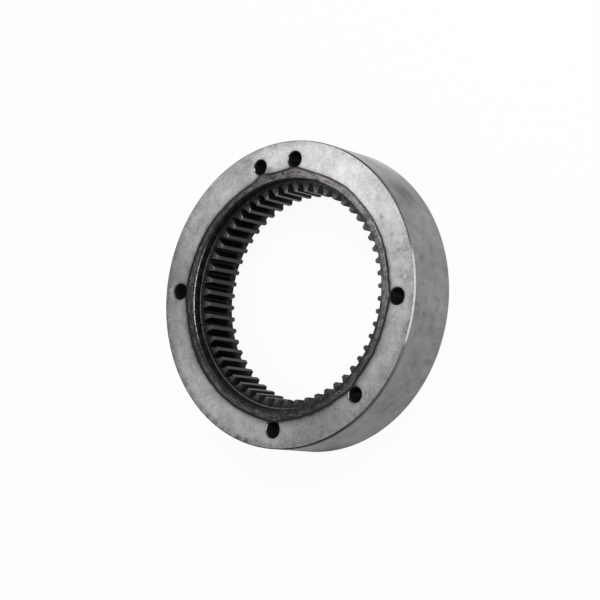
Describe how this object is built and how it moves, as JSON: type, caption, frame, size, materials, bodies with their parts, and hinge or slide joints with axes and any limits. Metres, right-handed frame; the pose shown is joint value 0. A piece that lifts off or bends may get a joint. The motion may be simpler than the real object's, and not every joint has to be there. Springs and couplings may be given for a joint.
{
  "type": "internal ring gear",
  "caption": "Thick steel ring with straight involute teeth cut into its bore, a counterbored front with a rough inner ledge, and through holes around its flat ground face.",
  "frame": {"origin": "centre of the back face, on the axis of the ring, at the level the ring rests on", "axes": "+Z along the axis of the ring, out of the front face with the counterbore; +X through the centre of one of the four evenly spaced bolt holes; +Y through the next one, counter-clockwise seen from the front"},
  "size_m": [0.267, 0.267, 0.054],
  "materials": {
    "ring_gear": "ground front face, dark scaled ledge and oiled dark teeth, satin turned outside"
  },
  "bodies": {
    "root": {"ring_gear": "ring_gear"}
  },
  "joints": []
}
